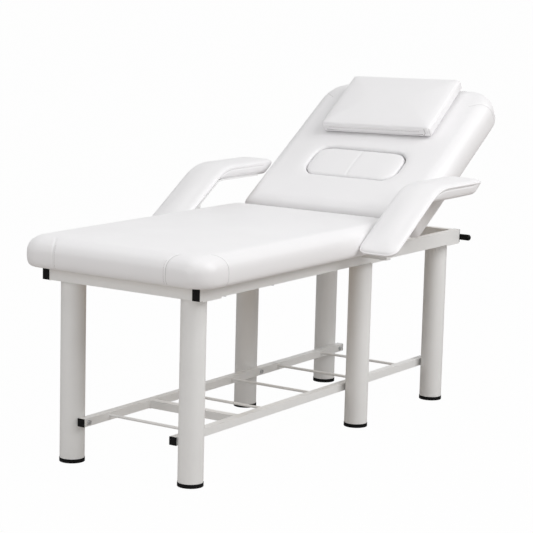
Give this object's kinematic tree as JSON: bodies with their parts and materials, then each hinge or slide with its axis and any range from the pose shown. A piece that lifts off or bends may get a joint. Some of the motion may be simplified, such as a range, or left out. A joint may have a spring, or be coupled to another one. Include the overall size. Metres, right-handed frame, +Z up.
{
  "type": "beauty bed",
  "caption": "Padded beauty bed on round steel legs with a lower rack, a reclining back with a face-hole plug, a loose pillow and lift-off armrests.",
  "frame": {"origin": "on the floor, under the middle of the bed's box", "axes": "+X towards the head end, +Y towards the right side of a person lying on the back, +Z up"},
  "size_m": [1.801, 0.97, 1.12],
  "materials": {
    "white_vinyl": "satin coated vinyl",
    "plywood": "plain sanded",
    "black_rubber": "matt",
    "black_plastic": "moulded matt",
    "bright_steel": "zinc plated",
    "black_enamel": "gloss enamel",
    "white_enamel": "powder coat"
  },
  "bodies": {
    "base": {"armrest_socket_left": "white_enamel", "armrest_socket_right": "white_enamel", "back_bumpers": "black_rubber", "clevis_pin": "bright_steel", "foot_caps": "black_rubber", "foot_cross_tube": "white_enamel", "head_cross_tube": "white_enamel", "hinge_pins": "bright_steel", "hinge_plates": "white_enamel", "leg_bolts": "bright_steel", "leg_foot_left": "white_enamel", "leg_foot_right": "white_enamel", "leg_head_left": "white_enamel", "leg_head_right": "white_enamel", "leg_middle_left": "white_enamel", "leg_middle_right": "white_enamel", "leg_plates": "white_enamel", "leg_top_discs": "white_enamel", "lever_post": "bright_steel", "middle_cross_tube": "white_enamel", "rack_bar_left": "white_enamel", "rack_bar_right": "white_enamel", "rack_bolts": "bright_steel", "rack_cross_tube": "white_enamel", "rack_end_caps": "black_plastic", "rack_rungs": "white_enamel", "rail_end_caps": "black_plastic", "rail_left": "white_enamel", "rail_right": "white_enamel", "seat_board": "plywood", "seat_cushion": "white_vinyl", "seat_screws": "bright_steel", "spring_clevis": "white_enamel"},
    "backrest": {"back_board": "plywood", "back_cross_tube_lower": "white_enamel", "back_cross_tube_upper": "white_enamel", "back_cushion": "white_vinyl", "back_screws": "bright_steel", "back_tube_left": "white_enamel", "back_tube_right": "white_enamel", "hinge_lugs": "white_enamel", "lever_pin": "bright_steel", "lever_plates": "white_enamel", "plug_cleats": "plywood"},
    "plug": {"plug_board": "plywood", "plug_cushion": "white_vinyl"},
    "pillow": {"pillow": "white_vinyl"},
    "gas_cylinder": {"gas_cylinder": "black_enamel"},
    "gas_rod": {"gas_rod": "bright_steel"},
    "release_lever": {"release_lever": "white_enamel", "release_grip": "black_plastic"},
    "armrest_left": {"armrest_pad_left": "white_vinyl", "armrest_board_left": "plywood", "armrest_strip_left": "white_enamel", "armrest_post_left": "white_enamel"},
    "armrest_right": {"armrest_pad_right": "white_vinyl", "armrest_board_right": "plywood", "armrest_strip_right": "white_enamel", "armrest_post_right": "white_enamel"}
  },
  "joints": [
    {"name": "back_recline", "type": "hinge", "parent": "base", "child": "backrest", "pos_m": [0.30154, 0, 0.615], "axis": [0, -1, 0], "range_deg": [-34, 26]},
    {"name": "gas_cylinder_swing", "type": "hinge", "parent": "base", "child": "gas_cylinder", "pos_m": [0.19354, 0, 0.538], "axis": [0, -1, 0], "range_deg": [-17, 13]},
    {"name": "gas_rod_swing", "type": "hinge", "parent": "backrest", "child": "gas_rod", "pos_m": [0.42577, 0, 0.56852], "axis": [0, -1, 0], "range_deg": [-13, 17]},
    {"name": "plug_lift", "type": "slide", "parent": "backrest", "child": "plug", "axis": [-0.5592, 0, 0.829], "range_m": [0, 0.12]},
    {"name": "pillow_lift", "type": "slide", "parent": "backrest", "child": "pillow", "axis": [-0.5592, 0, 0.829], "range_m": [0, 0.15]},
    {"name": "armrest_lift_left", "type": "slide", "parent": "base", "child": "armrest_left", "axis": [0, 0, 1], "range_m": [0, 0.12]},
    {"name": "armrest_lift_right", "type": "slide", "parent": "base", "child": "armrest_right", "axis": [0, 0, 1], "range_m": [0, 0.12]},
    {"name": "release_press", "type": "hinge", "parent": "base", "child": "release_lever", "pos_m": [0.72104, -0.1, 0.577], "axis": [1, 0, 0], "range_deg": [0, 12], "stiffness_Nm_per_rad": 1.5, "springref_deg": -20.05}
  ],
  "couplings": [
    {"joint": "gas_cylinder_swing", "follows": "back_recline", "ratio": 0.5},
    {"joint": "gas_rod_swing", "follows": "back_recline", "ratio": -0.5}
  ]
}
